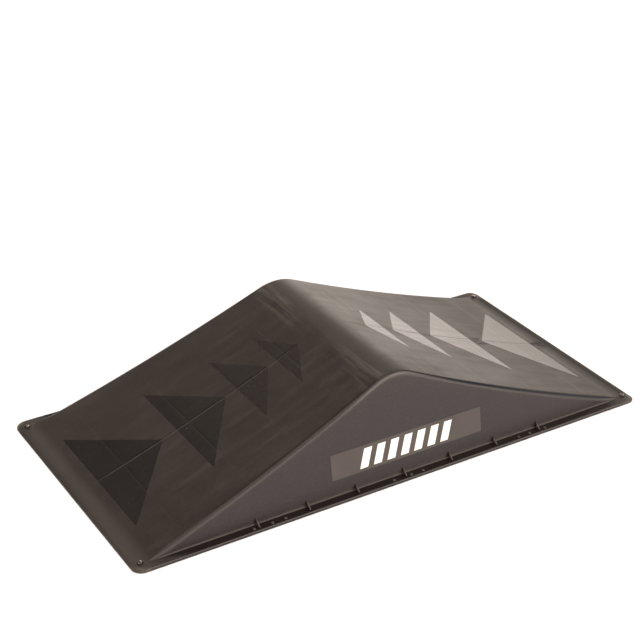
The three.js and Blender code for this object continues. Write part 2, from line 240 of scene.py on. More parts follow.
def skin_grid(inset):
    """The moulding's face over the hump as a grid of points: station, line, xyz."""
    xs = stations()
    edge_y, edge_z = edge_lines(xs, inset)
    crease = edge_y[:, :1]
    parts = np.linspace(0, 1, DECK_STEPS + 1)[None, 1:-1]
    beside = np.repeat(SPINE_LINES[None, :], len(xs), 0)
    deck_y = np.hstack([beside, SPINE_LINES[-1] + (crease - SPINE_LINES[-1]) * parts])
    top = deck_height(xs, inset)
    deck_z = np.repeat(top[:, None], deck_y.shape[1], 1)
    ys = np.hstack([deck_y, edge_y])
    zs = np.hstack([deck_z, edge_z])
    ys = np.hstack([-ys[:, :0:-1], ys])
    zs = np.hstack([zs[:, :0:-1], zs])
    grid = np.stack([np.repeat(xs[:, None], ys.shape[1], 1), ys, zs], axis=2)
    if inset == 0:
        grid[:, :, 2] -= sink(grid[:, :, 0], grid[:, :, 1])
    return grid


def outline_place(x, y):
    """For a point on the grid's border: the outline's centre of rounding, and the outward direction."""
    sx, sy = math.copysign(1, x), math.copysign(1, y)
    corner_x, corner_y = HALF_LENGTH - CORNER_RADIUS, HALF_WIDTH - CORNER_RADIUS
    if abs(x) <= corner_x:
        return Vector((x, sy * corner_y)), Vector((0, sy))
    if abs(y) <= corner_y:
        return Vector((sx * corner_x, y)), Vector((sx, 0))
    if abs(y) >= GRID_Y - 1e-7:
        angle = math.pi / 2 - math.pi / 4 * (abs(x) - corner_x) / (GRID_X - corner_x)
    else:
        angle = math.pi / 4 * (abs(y) - corner_y) / (GRID_Y - corner_y)
    return Vector((sx * corner_x, sy * corner_y)), Vector((sx * math.cos(angle), sy * math.sin(angle)))


def ring(border, distance, inset):
    """The ring of points a distance inside the outline, on the flange or its nose."""
    points = []
    for x, y in border:
        centre, out = outline_place(x, y)
        place = centre + out * (CORNER_RADIUS - distance)
        z = float(flange_height(place.x, inset))
        radius = min(RIM_RADIUS, z - GROUND_GAP - NOSE_TIP / 2) * out.y**2 if inset == 0 else 0
        if distance < radius:
            z -= radius - math.sqrt(radius**2 - (radius - distance) ** 2)
        points.append((place.x, place.y, z))
    return points


def skin(inset, distances):
    """Points and faces of one side of the moulding's skin, and the indices of its ring at the ground."""
    grid = skin_grid(inset)
    rows, lines = grid.shape[:2]
    points = [tuple(p) for p in grid.reshape(-1, 3)]
    faces = []
    for i in range(rows - 1):
        for j in range(lines - 1):
            a = i * lines + j
            faces.append((a, a + lines, a + lines + 1, a + 1))
    loop = [i * lines for i in range(rows)]
    loop += [(rows - 1) * lines + j for j in range(1, lines)]
    loop += [i * lines + lines - 1 for i in range(rows - 2, -1, -1)]
    loop += [j for j in range(lines - 2, 0, -1)]
    border = [points[i][:2] for i in loop]
    rings = [ring(border, d * MM, inset) for d in distances]
    rings.append([(x, y, GROUND_GAP) for x, y, _ in rings[-1]])
    for made in rings:
        first = len(points)
        points += made
        count = len(loop)
        for i in range(count):
            j = (i + 1) % count
            faces.append((loop[j], loop[i], first + i, first + j))
        loop = [first + i for i in range(count)]
    return points, faces, loop


def new_object(name, data):
    piece = bpy.data.objects.new(name, data)
    bpy.context.scene.collection.objects.link(piece)
    return piece


def made_of(name, bm, sharp=None):
    """The object of a bmesh: shaded smooth apart from edges over the sharp angle, or flat without one."""
    mesh = bpy.data.meshes.new(name)
    for face in bm.faces:
        face.smooth = sharp is not None
    bm.to_mesh(mesh)
    bm.free()
    if sharp is not None:
        mesh.set_sharp_from_angle(angle=math.radians(sharp))
    return new_object(name, mesh)


def prism(bm, outline, low, high):
    """A closed prism: outline is [y, z] points, swept along X from low to high."""
    first = [bm.verts.new((low, y, z)) for y, z in outline]
    second = [bm.verts.new((high, y, z)) for y, z in outline]
    faces = [bm.faces.new(first), bm.faces.new(second[::-1])]
    for i in range(len(outline)):
        j = (i + 1) % len(outline)
        faces.append(bm.faces.new((first[j], first[i], second[i], second[j])))
    bmesh.ops.recalc_face_normals(bm, faces=faces)
    return faces


def turned(bm, profile, x, y, sides=32):
    """A closed turned shape standing at x, y: profile is [radius, z] points from the axis to the axis."""
    rings = []
    for radius, z in profile[1:-1]:
        angles = [2 * math.pi * i / sides for i in range(sides)]
        rings.append([bm.verts.new((x + radius * math.cos(a), y + radius * math.sin(a), z)) for a in angles])
    low = bm.verts.new((x, y, profile[0][1]))
    high = bm.verts.new((x, y, profile[-1][1]))
    for i in range(sides):
        j = (i + 1) % sides
        bm.faces.new((low, rings[0][j], rings[0][i]))
        bm.faces.new((high, rings[-1][i], rings[-1][j]))
        for lower, upper in zip(rings, rings[1:]):
            bm.faces.new((lower[i], lower[j], upper[j], upper[i]))


GUSSET_REACH = 14 * MM
GUSSET_HEIGHT = 13 * MM
GUSSET_TOE = 1.2 * MM
GUSSET_THICKNESS = 2.2 * MM
GUSSET_BEVEL = 0.45 * MM
PEG_RADIUS = 3 * MM
PEG_HEIGHT = 2.8 * MM
PEG_Y = 288 * MM
PEG_XS = [-350, -310, -281, -31, 10, 39, 281, 310, 350]
SUNK = 1 * MM  # how far gussets and pegs reach into the skin


def add_gusset(bm, x, side):
    top = FLANGE_TOP + GUSSET_HEIGHT
    root = FLANGE_TOP - SUNK
    outline = [
        (wall_y(root, 1.5 * SUNK), root),
        (WALL_FOOT_Y + GUSSET_REACH, root),
        (WALL_FOOT_Y + GUSSET_REACH, FLANGE_TOP + GUSSET_TOE),
        (wall_y(top, 0), top),
        (wall_y(top, 1.5 * SUNK), top),
    ]
    outline = [(side * y, z) for y, z in outline]
    faces = prism(bm, outline, x - GUSSET_THICKNESS / 2, x + GUSSET_THICKNESS / 2)
    edges = {e for f in faces for e in f.edges if max(v.co.z for v in e.verts) > FLANGE_TOP}
    bmesh.ops.bevel(bm, geom=list(edges), offset=GUSSET_BEVEL, segments=2, affect="EDGES", profile=0.6)


def add_peg(bm, x, side):
    round_over = 0.7 * MM
    top = FLANGE_TOP + PEG_HEIGHT
    profile = [(0, FLANGE_TOP - SUNK), (PEG_RADIUS, FLANGE_TOP - SUNK), (PEG_RADIUS, FLANGE_TOP)]
    for a in np.linspace(0, math.pi / 2, 5):
        ring_radius = PEG_RADIUS - round_over * (1 - math.cos(a))
        profile.append((ring_radius, top - round_over * (1 - math.sin(a))))
    profile.append((0, top))
    turned(bm, profile, x, side * PEG_Y)


def make_moulding():
    outer, outer_faces, outer_rim = skin(0.0, RING_STEPS)
    inner, inner_faces, inner_rim = skin(SKIN, INNER_RING_STEPS)
    shift = len(outer)
    faces = outer_faces + [tuple(shift + i for i in reversed(f)) for f in inner_faces]
    for i in range(len(outer_rim)):
        j = (i + 1) % len(outer_rim)
        faces.append((outer_rim[j], outer_rim[i], shift + inner_rim[i], shift + inner_rim[j]))
    mesh = bpy.data.meshes.new("moulding")
    mesh.from_pydata(outer + inner, [], faces)
    bm = bmesh.new()
    bm.from_mesh(mesh)
    for side in (-1, 1):
        for i in range(-3, 4):
            add_gusset(bm, i * RIB_PITCH, side)
        for x in PEG_XS:
            add_peg(bm, x * MM, side)
    for face in bm.faces:
        face.smooth = True
    bm.to_mesh(mesh)
    bm.free()
    mesh.set_sharp_from_angle(angle=math.radians(MOULDING_SHARP))
    return new_object("moulding", mesh)


# ---------------------------------------------------------------- films

FILM_SHARP = 30

def close_film(bm, up, thickness):
    """Gives an open sheet its thickness along up."""
    made = bmesh.ops.extrude_face_region(bm, geom=bm.faces[:])
    for vert in [v for v in made["geom"] if isinstance(v, bmesh.types.BMVert)]:
        vert.co += up(vert.co) * thickness
    bmesh.ops.recalc_face_normals(bm, faces=bm.faces[:])


def deck_up(p):
    step = 0.5 * MM
    slope = float(deck_height(np.float64(p[0] + step)) - deck_height(np.float64(p[0] - step))) / (2 * step)
    return Vector((-slope, 0, 1)).normalized()


def make_arrow(name, side, base, tip, half):
    """An arrow film on the deck: a grid over its box, cut along its two slanting edges."""
    xs = [x for x in stations() if tip < side * x < base]
    xs = sorted(xs + [side * tip, side * base])
    ys = np.concatenate([SPINE_LINES, np.linspace(SPINE_LINES[-1], half, 9)[1:]])
    ys = np.concatenate([-ys[:0:-1], ys])
    bm = bmesh.new()
    verts = []
    for x in xs:
        row = []
        for y in ys:
            z = float(deck_height(np.float64(x)) - sink(np.float64(x), np.float64(y)))
            row.append(bm.verts.new(Vector((x, y, z)) + deck_up((x, y, z)) * FILM_LIFT))
        verts.append(row)
    for lower, upper in zip(verts, verts[1:]):
        for j in range(len(ys) - 1):
            bm.faces.new((lower[j], upper[j], upper[j + 1], lower[j + 1]))
    for across in (-1, 1):
        run = Vector((side * (base - tip), across * half, 0))
        normal = Vector((run.y, -run.x, 0)) * (side * across)
        bmesh.ops.bisect_plane(
            bm,
            geom=bm.verts[:] + bm.edges[:] + bm.faces[:],
            plane_co=(side * tip, 0, 0),
            plane_no=-normal,
            clear_outer=True,
            dist=1e-7,
        )
    close_film(bm, deck_up, FILM_THICKNESS)
    return made_of(name, bm, FILM_SHARP)


def wall_point(x, z, side):
    return Vector((x, side * wall_y(z, 0), z))


def wall_up(side):
    return Vector((0, side * math.cos(WALL_LEAN), math.sin(WALL_LEAN)))


def make_wall_plate(name, outlines, side, lift, thickness):
    """Flat plates on a side wall: each outline is a list of [x, z] points."""
    bm = bmesh.new()
    up = wall_up(side)
    for outline in outlines:
        verts = [bm.verts.new(wall_point(x, z, side) + up * lift) for x, z in outline]
        bm.faces.new(verts)
    close_film(bm, lambda _: up, thickness)
    return made_of(name, bm, FILM_SHARP)


def rounded_box(left, right, bottom, top, radius, steps=5):
    points = []
    centres = [
        (right - radius, top - radius, 0),
        (left + radius, top - radius, 90),
        (left + radius, bottom + radius, 180),
        (right - radius, bottom + radius, 270),
    ]
    for x, z, start in centres:
        for i in range(steps + 1):
            a = math.radians(start + 90 * i / steps)
            points.append((x + radius * math.cos(a), z + radius * math.sin(a)))
    return points


BAR_COUNT = 7
BARS_LEFT = -99 * MM
BARS_RIGHT = 125 * MM
BARS_BOTTOM = 46 * MM
BARS_TOP = 86 * MM
BAR_SHARE = 0.58  # a bar's width as a share of the pitch
BAR_SLANT = 0.32


def bar_outlines(mirror):
    slant_run = BAR_SLANT * (BARS_TOP - BARS_BOTTOM)
    pitch = (BARS_RIGHT - BARS_LEFT - slant_run) / (BAR_COUNT - 1 + BAR_SHARE)
    outlines = []
    for i in range(BAR_COUNT):
        left = BARS_LEFT + i * pitch
        right = left + BAR_SHARE * pitch
        corners = [
            (left, BARS_BOTTOM),
            (right, BARS_BOTTOM),
            (right + slant_run, BARS_TOP),
            (left + slant_run, BARS_TOP),
        ]
        outlines.append([(mirror * x, z) for x, z in corners])
    return outlines


# ---------------------------------------------------------------- screws

SCREW_X = 580 * MM
SCREW_Y = 270 * MM
HEAD_RADIUS = 5.75 * MM
HEAD_SEAT = 7.15 * MM
HEAD_RIM = 0.8 * MM
HEAD_HEIGHT = 2.8 * MM
SHANK_RADIUS = 2.5 * MM
SHANK_END = 0.6 * MM
SHANK_CHAMFER = 0.4 * MM
HEAD_CHAMFER = 0.2 * MM
RECESS_LENGTH = 6.4 * MM
RECESS_WIDTH = 1.3 * MM
RECESS_DEPTH = 1.9 * MM
RECESS_TURN = math.pi / 5
SCREW_SHARP = 35


def make_screw(name, x, y):
    """A domed screw with a cross recess whose wings taper as they go down."""
    bm = bmesh.new()
    profile = [
        (0, SHANK_END),
        (SHANK_RADIUS - SHANK_CHAMFER, SHANK_END),
        (SHANK_RADIUS, SHANK_END + SHANK_CHAMFER),
        (SHANK_RADIUS, HEAD_SEAT),
        (HEAD_RADIUS - HEAD_CHAMFER, HEAD_SEAT),
        (HEAD_RADIUS, HEAD_SEAT + HEAD_CHAMFER),
    ]
    dome = HEAD_HEIGHT - HEAD_RIM
    for a in np.linspace(0, math.pi / 2, 13)[:-1]:
        profile.append((HEAD_RADIUS * math.cos(a), HEAD_SEAT + HEAD_RIM + dome * math.sin(a)))
    profile.append((0, HEAD_SEAT + HEAD_HEIGHT))
    turned(bm, profile, x, y, sides=48)
    body = made_of(name, bm, SCREW_SHARP)
    bm = bmesh.new()
    top = HEAD_SEAT + HEAD_HEIGHT + 0.5 * MM
    bottom = HEAD_SEAT + HEAD_HEIGHT - RECESS_DEPTH
    for turn in (0, math.pi / 2):
        verts = []
        for z, share in ((bottom, 0.55), (top, 1.1)):
            for sx, sy in ((-1, -1), (1, -1), (1, 1), (-1, 1)):
                px = sx * RECESS_LENGTH / 2 * share
                py = sy * RECESS_WIDTH / 2 * (0.6 + 0.4 * share)
                place = Matrix.Rotation(turn + RECESS_TURN, 3, "Z") @ Vector((px, py, 0))
                # The second wing lies a hair higher, so that no two faces coincide.
                verts.append(bm.verts.new((x + place.x, y + place.y, z + turn * 1e-5)))
        for face in ((3, 2, 1, 0), (4, 5, 6, 7), (0, 1, 5, 4), (1, 2, 6, 5), (2, 3, 7, 6), (3, 0, 4, 7)):
            bm.faces.new([verts[i] for i in face])
    cutter = made_of("recess_cutter", bm)
    cut = body.modifiers.new("recess", "BOOLEAN")
    cut.operation = "DIFFERENCE"
    cut.solver = "EXACT"
    cut.use_self = True
    cut.object = cutter
    bpy.context.view_layer.update()
    depsgraph = bpy.context.evaluated_depsgraph_get()
    made = bpy.data.meshes.new_from_object(body.evaluated_get(depsgraph))
    body.modifiers.clear()
    body.data = made
    made.set_sharp_from_angle(angle=math.radians(SCREW_SHARP))
    bpy.data.objects.remove(cutter)
    return body


# ---------------------------------------------------------------- materials


class NodeTree:
    """A node tree, with short calls for the nodes that are used here."""

    def __init__(self, tree):
        self.tree = tree

    def put(self, socket, value):
        """Links a socket to another, or sets its plain value."""
        if isinstance(value, bpy.types.NodeSocket):
            self.tree.links.new(value, socket)
        else:
            socket.default_value = value

    def add(self, kind, values, **settings):
        """A new node with its own settings, and its inputs by name or number."""
        node = self.tree.nodes.new("ShaderNode" + kind)
        for name, value in settings.items():
            setattr(node, name, value)
        for name, value in values.items():
            self.put(node.inputs[name], value)
        return node

    def math(self, operation, a, b=0.0):
        return self.add("Math", {0: a, 1: b}, operation=operation).outputs["Value"]

    def times(self, *values):
        product = values[0]
        for value in values[1:]:
            product = self.math("MULTIPLY", product, value)
        return product

    def more(self, value, *factors):
        """The value with the product of the factors added to it."""
        return self.math("ADD", value, self.times(*factors))

    def remap(self, value, low, high, to_low=0.0, to_high=1.0):
        values = {"Value": value, "From Min": low, "From Max": high, "To Min": to_low, "To Max": to_high}
        return self.add("MapRange", values, interpolation_type="SMOOTHSTEP").outputs["Result"]

    def axes(self, vector):
        parts = self.add("SeparateXYZ", {"Vector": vector}).outputs
        return parts["X"], parts["Y"], parts["Z"]


class Material(NodeTree):
    """A material of one shader, with masks and noises in the part's own frame."""

    def __init__(self, name):
        self.material = bpy.data.materials.new(name)
        self.material.use_nodes = True
        super().__init__(self.material.node_tree)
        self.shader = self.tree.nodes["Principled BSDF"]
        self.place = self.add("TexCoord", {}).outputs["Object"]

    def set(self, name, value):
        self.put(self.shader.inputs[name], value)

    def size(self, value):
        return self.math("ABSOLUTE", value)

    def above(self, value, start, end):
        return self.remap(value, start, end)

    def below(self, value, start, end):
        return self.remap(value, start, end, 1.0, 0.0)

    def near(self, value, centre, half, soft):
        """One within half of the centre, falling to none over the soft distance."""
        away = self.size(self.math("SUBTRACT", value, centre))
        return self.below(away, half, half + soft)

    def noise(self, scale, detail=2.0, roughness=0.5, vector=None):
        values = {"Scale": scale, "Detail": detail, "Roughness": roughness, "Vector": vector or self.place}
        return self.add("TexNoise", values).outputs["Fac"]

    def drawn_noise(self, scales, detail, roughness):
        """Noise with its own scale along each axis, so that it is drawn out where the scale is small."""
        vector = self.add("Mapping", {"Vector": self.place, "Scale": scales}).outputs["Vector"]
        return self.noise(1.0, detail, roughness, vector)

    def mix(self, factor, a, b):
        return self.add("Mix", {"Factor": factor, "A": a, "B": b}, data_type="RGBA").outputs["Result"]

    def cover(self, colour, tone, *masks):
        """The colour with a tone over it, as far as the product of the masks."""
        return self.mix(self.times(*masks), colour, tone)

    def bump(self, height, distance, **below):
        return self.add("Bump", {"Height": height, "Distance": distance, **below}).outputs["Normal"]


RIGHT_FACE = (10 * MM, 60 * MM)  # across these places the crest's right side begins
LEFT_FACE = (-60 * MM, -10 * MM)
SPINE_SHINE_Y = 0.6 * MM  # the lit side of the spine line, and its shaded side
SPINE_SHADE_Y = 3 * MM


def rib_line_mask(m, along, width):
    lines = None
    for rib in RIB_XS:
        line = m.near(along, rib, 0.3 * width, width)
        lines = line if lines is None else m.math("MAXIMUM", lines, line)
    return lines


def spine_lit(m, y):
    return m.near(y, SPINE_SHINE_Y, 0.3 * MM, 0.9 * MM)


def spine_shade(m, y):
    return m.near(y, SPINE_SHADE_Y, 0.4 * MM, 1.2 * MM)


def wheel_path(m, y, soft):
    """The wandering path of wheels along the middle, and the broken streaks in it."""
    wander = m.times(m.math("SUBTRACT", m.noise(9.0, 3.0), 0.5), 16 * MM)
    path = m.near(m.math("ADD", y, wander), 0.0, 2 * MM, soft)
    return path, m.remap(m.drawn_noise((12, 160, 60), 4.0, 0.7), 0.4, 0.6)


def distance_from_screw(m, x, y):
    screw_x = m.math("SUBTRACT", m.size(x), SCREW_X)
    screw_y = m.math("SUBTRACT", m.size(y), SCREW_Y)
    return m.math("SQRT", m.more(m.times(screw_x, screw_x), screw_y, screw_y))


def moulding_material():
    """Black polyethylene with a satin skin: dusty, scuffed in places and streaked where wheels run, with
    painted highlights along its edges and painted shade in its creases, on its flanges and at its walls'
    feet.
    """
    m = Material("moulded_plastic")
    x, y, z = m.axes(m.place)
    along, across = m.size(x), m.size(y)
    dark = (0.0112, 0.0082, 0.0072, 1)
    cloudy = (0.0165, 0.0124, 0.0109, 1)
    dust_and_highlight = (0.092, 0.083, 0.068, 1)
    soil = (0.084, 0.0745, 0.054, 1)
    scuff_and_highlight = (0.060, 0.051, 0.047, 1)
    shade_and_tyre_black = (0.0060, 0.0034, 0.0036, 1)
    highlight_grey = (0.150, 0.140, 0.136, 1)
    cool_dark = (0.0040, 0.0065, 0.0125, 1)
    wall_tone = (0.0135, 0.0072, 0.0084, 1)
    wall_foot_shade = (0.0062, 0.0028, 0.0030, 1)

    cloud = m.remap(m.noise(6.0, 5.0, 0.6), 0.35, 0.75)
    colour = m.mix(cloud, dark, cloudy)

    # How far a point lies inside the wall's slanting plane: none on the wall, and more on the deck.
    wall_line = m.math("SUBTRACT", WALL_FOOT_Y + WALL_DRAFT * FLANGE_TOP, m.times(z, WALL_DRAFT))
    inside = m.math("SUBTRACT", wall_line, across)
    off_flange = m.above(z, 9 * MM, 14 * MM)
    on_deck = m.times(off_flange, m.above(inside, 9 * MM, 11.5 * MM))
    on_wall = m.times(off_flange, m.below(inside, 1 * MM, 10 * MM))
    right_face = m.above(x, *RIGHT_FACE)
    left_face = m.below(x, *LEFT_FACE)

    # The walls' own tone, painted shade darkening their lower part, and dust in the grain everywhere.
    colour = m.cover(colour, wall_tone, on_wall, 0.8)
    colour = m.cover(colour, wall_foot_shade, on_wall, m.below(z, 12 * MM, 50 * MM), 0.8)
    speckle = m.remap(m.noise(340.0, 3.0, 0.7), 0.45, 0.68)
    colour = m.cover(colour, scuff_and_highlight, speckle, 0.2)
    streaks = m.remap(m.drawn_noise((5, 60, 20), 5.0, 0.62), 0.42, 0.78)
    colour = m.cover(colour, dust_and_highlight, streaks, on_deck, 0.10)
    layer = m.remap(m.drawn_noise((6, 34, 12), 5.0, 0.65), 0.3, 0.7, 0.10, 0.34)
    colour = m.cover(colour, soil, layer, right_face, on_deck)

    # The rounded edges between the decks and the walls: a lighter band on the right crease, a painted bluish
    # reflection tint on the right edge, and painted shade on the deck side of the left crease.
    off_foot = m.above(z, 12 * MM, 20 * MM)
    crease = m.near(inside, 8 * MM, 2.5 * MM, 2.5 * MM)
    colour = m.cover(colour, scuff_and_highlight, crease, right_face, off_foot, 0.4)
    # Painted bluish reflection tint on the right face's round edge.
    cool_edge_reflection = m.near(inside, 3.4 * MM, 1.4 * MM, 1.2 * MM)
    colour = m.cover(colour, cool_dark, cool_edge_reflection, right_face, off_foot, 0.9)
    # Painted shade along the deck side of the left crease.
    crease_shade = m.near(inside, 9.5 * MM, 1.5 * MM, 2.5 * MM)
    colour = m.cover(colour, shade_and_tyre_black, crease_shade, left_face, m.above(z, 30 * MM, 80 * MM), 0.9)

    # Dust on both sides of the ridge and on the crest, and a painted highlight on the round edges near the
    # crest.
    ridge_dust = m.remap(m.drawn_noise((62, 5, 5), 5.0, 0.6), 0.42, 0.66)
    ridge_dust = m.times(ridge_dust, m.near(x, -44 * MM, 10 * MM, 26 * MM))
    towards_walls = m.math("ADD", m.times(m.above(across, 20 * MM, 170 * MM), 0.85), 0.15)
    colour = m.cover(colour, dust_and_highlight, ridge_dust, towards_walls, on_deck, 0.5)
    crest_dust = m.remap(m.drawn_noise((60, 7, 7), 4.0, 0.6), 0.45, 0.65)
    crest_dust = m.times(crest_dust, m.near(x, 66 * MM, 20 * MM, 24 * MM))
    colour = m.cover(colour, dust_and_highlight, crest_dust, on_deck, 0.28)
    # Painted highlight on the round edges near the crest.
    edge_highlight = m.times(m.near(inside, 2.6 * MM, 0.8 * MM, 1.2 * MM), m.near(x, 5 * MM, 45 * MM, 110 * MM))
    colour = m.cover(colour, highlight_grey, edge_highlight, m.above(z, 100 * MM, 120 * MM), 0.4)

    # The lines that the ribs leave, a painted highlight and painted shade along the spine line, and the
    # wheels' strokes where they land.
    lines = m.times(rib_line_mask(m, along, 1.6 * MM), on_deck)
    lines = m.times(lines, m.math("ADD", m.times(right_face, 0.9), 0.1))
    broken = m.remap(m.drawn_noise((30, 16, 16), 4.0, 0.6), 0.35, 0.6)
    colour = m.cover(colour, dust_and_highlight, lines, broken, 0.9)
    # Painted highlight on the lit side of the spine line.
    groove_highlight = m.times(spine_lit(m, y), on_deck, m.above(along, 75 * MM, 100 * MM))
    colour = m.cover(colour, dust_and_highlight, groove_highlight, m.below(along, 520 * MM, 545 * MM), 0.2)
    strokes = m.remap(m.drawn_noise((16, 230, 80), 3.0, 0.6), 0.48, 0.56)
    strokes = m.times(m.near(y, -2 * MM, 10 * MM, 16 * MM), strokes)
    landing = m.math("MAXIMUM", m.near(x, 386 * MM, 10 * MM, 14 * MM), m.near(x, 560 * MM, 12 * MM, 10 * MM))
    colour = m.cover(colour, shade_and_tyre_black, strokes, landing, 0.9)
    # Painted shade on the shaded side of the spine line on the left slope.
    left_spine = m.near(x, -310 * MM, 200 * MM, 30 * MM)
    colour = m.cover(colour, shade_and_tyre_black, spine_shade(m, y), on_deck, left_spine, 0.6)

    # The flange beside the walls: painted shade darkens it, gussets and pegs are lighter, and a painted
    # highlight lightens the fillet and the rim's outer face.
    # Painted shade over the side flanges.
    on_flange = m.above(across, 275.5 * MM, 277 * MM)
    low = m.below(z, 7.2 * MM, 7.6 * MM)
    mid_length = m.below(along, 520 * MM, 570 * MM)
    colour = m.cover(colour, shade_and_tyre_black, on_flange, low, mid_length, 0.9)
    raised = m.above(z, 7.6 * MM, 8.4 * MM)
    colour = m.cover(colour, scuff_and_highlight, on_flange, raised, 0.8)
    # Painted highlight along the fillet at the wall's foot.
    fillet = m.times(m.near(across, 275.2 * MM, 0.4 * MM, 0.9 * MM), m.below(z, 9 * MM, 10.5 * MM))
    colour = m.cover(colour, scuff_and_highlight, fillet, m.below(along, 535 * MM, 552 * MM), 0.6)
    # Painted reflection lightening the upper outer face of the rim.
    rim = m.times(m.above(across, 292.6 * MM, 293.6 * MM), m.above(z, 4.5 * MM, 6 * MM))
    colour = m.cover(colour, scuff_and_highlight, rim, 0.55)

    # Soil at the corners, the left end's worn lip, and the shade round the screws.
    corner_x = m.math("SUBTRACT", along, HALF_LENGTH - CORNER_RADIUS)
    corner_y = m.math("SUBTRACT", across, HALF_WIDTH - CORNER_RADIUS)
    reach = m.math("ADD", m.math("MAXIMUM", corner_x, 0.0), m.math("MAXIMUM", corner_y, 0.0))
    corner_noise = m.remap(m.noise(55.0, 4.0, 0.6), 0.3, 0.65)
    at_corner = m.times(m.above(corner_x, -14 * MM, 2 * MM), m.above(corner_y, -14 * MM, 2 * MM))
    corner_dust = m.times(m.above(reach, 12 * MM, 23 * MM), corner_noise, at_corner)
    colour = m.cover(colour, soil, corner_dust, 0.9)
    left_lip = m.times(m.below(x, -588 * MM, -572 * MM), m.below(y, -260 * MM, 60 * MM))
    colour = m.cover(colour, scuff_and_highlight, left_lip, 0.22)
    by_screw = m.below(distance_from_screw(m, x, y), 6.5 * MM, 8.5 * MM)
    colour = m.cover(colour, shade_and_tyre_black, by_screw, 0.9)
    m.set("Base Color", colour)

    # Gloss: duller where it is dusty or worn, and glossier on the round edges and in the flange's shade.
    rough = m.remap(m.noise(14.0, 4.0, 0.6), 0.25, 0.75, 0.37, 0.43)
    rough = m.more(rough, m.math("SUBTRACT", streaks, 0.4), on_deck, 0.07)
    path, path_streaks = wheel_path(m, y, 9 * MM)
    rough = m.more(rough, path, right_face, path_streaks, 0.12)
    rough = m.more(rough, right_face, on_deck, 0.04)
    rough = m.more(rough, m.above(x, 200 * MM, 480 * MM), on_deck, 0.06)
    round_edge = m.times(m.near(inside, 5 * MM, 3 * MM, 2.5 * MM), off_foot)
    rough = m.more(rough, round_edge, m.remap(z, 20 * MM, 170 * MM, 0.03, -0.10))
    rough = m.more(rough, round_edge, m.above(x, 40 * MM, 320 * MM), 0.10)
    dull_crest = m.times(m.near(x, 60 * MM, 50 * MM, 40 * MM), m.below(y, -220 * MM, -110 * MM))
    rough = m.more(rough, dull_crest, on_deck, 0.07)
    right_nose = m.times(m.above(x, 576 * MM, 584 * MM), m.below(across, 250 * MM, 270 * MM))
    rough = m.more(rough, right_nose, 0.3)
    rough = m.more(rough, strokes, landing, 0.25)
    rough = m.more(rough, on_flange, low, mid_length, -0.12)
    m.set("Roughness", rough)
    m.set("IOR", 1.5)
    fine_grain = m.bump(m.noise(900.0, 3.0, 0.6), 0.03 * MM)
    m.set("Normal", m.bump(m.noise(330.0, 3.0, 0.7), 0.12 * MM, Normal=fine_grain))
    return m.material


def arrow_material():
    """A thin dark film, glossier than the deck under it, with fine streaks along the ramp."""
    m = Material("arrow_film")
    x, y, _ = m.axes(m.place)
    dark = (0.0138, 0.0119, 0.0120, 1)
    worn = (0.0212, 0.0184, 0.0178, 1)
    nick_and_highlight = (0.30, 0.28, 0.26, 1)
    shaded = (0.004, 0.0035, 0.0035, 1)
    cloud = m.remap(m.noise(9.0, 5.0, 0.6), 0.35, 0.75)
    walked = m.below(m.size(x), 150 * MM, 480 * MM)
    colour = m.mix(m.more(m.times(walked, 0.75), cloud, 0.25), dark, worn)
    scratches = m.remap(m.drawn_noise((30, 900, 300), 3.0, 0.6), 0.66, 0.74)
    colour = m.cover(colour, nick_and_highlight, scratches, m.remap(m.noise(25.0, 3.0), 0.5, 0.65), 0.4)
    left_face = m.below(x, *LEFT_FACE)
    # Painted highlight and painted shade on the two sides of the spine line on the left slope.
    colour = m.cover(colour, nick_and_highlight, spine_lit(m, y), left_face, 0.06)
    colour = m.cover(colour, shaded, spine_shade(m, y), left_face, 0.7)
    m.set("Base Color", colour)
    rough = m.remap(m.drawn_noise((5, 70, 20), 4.0, 0.6), 0.35, 0.7, 0.15, 0.20)
    path, path_streaks = wheel_path(m, y, 8 * MM)
    m.set("Roughness", m.more(rough, path, path_streaks, m.above(x, *RIGHT_FACE), 0.05))
    m.set("IOR", 1.5)
    m.set("Normal", m.bump(m.noise(700.0), 0.008 * MM))
    return m.material


def label_material():
    m = Material("label_film")
    base = (0.050, 0.041, 0.035, 1)
    pale = (0.060, 0.050, 0.043, 1)
    cloud = m.remap(m.noise(12.0, 4.0, 0.6), 0.35, 0.75)
    m.set("Base Color", m.mix(cloud, base, pale))
    m.set("Roughness", m.remap(m.noise(30.0, 3.0), 0.3, 0.7, 0.3, 0.4))
    m.set("Normal", m.bump(m.noise(500.0), 0.01 * MM))
    return m.material


def print_material():
    m = Material("label_print")
    white = (0.82, 0.82, 0.80, 1)
    soiled = (0.68, 0.67, 0.64, 1)
    cloud = m.remap(m.noise(40.0, 5.0, 0.6), 0.5, 0.8)
    m.set("Base Color", m.mix(cloud, white, soiled))
    m.set("Roughness", m.remap(m.noise(30.0, 3.0), 0.3, 0.7, 0.38, 0.48))
    return m.material


def rubber_material():
    m = Material("rubber")
    black = (0.012, 0.012, 0.012, 1)
    dusty = (0.03, 0.029, 0.028, 1)
    m.set("Base Color", m.mix(m.noise(60.0, 4.0, 0.6), black, dusty))
    m.set("Roughness", m.remap(m.noise(120.0, 3.0), 0.3, 0.7, 0.7, 0.9))
    m.set("Normal", m.bump(m.noise(1500.0, 3.0), 0.05 * MM))
    return m.material


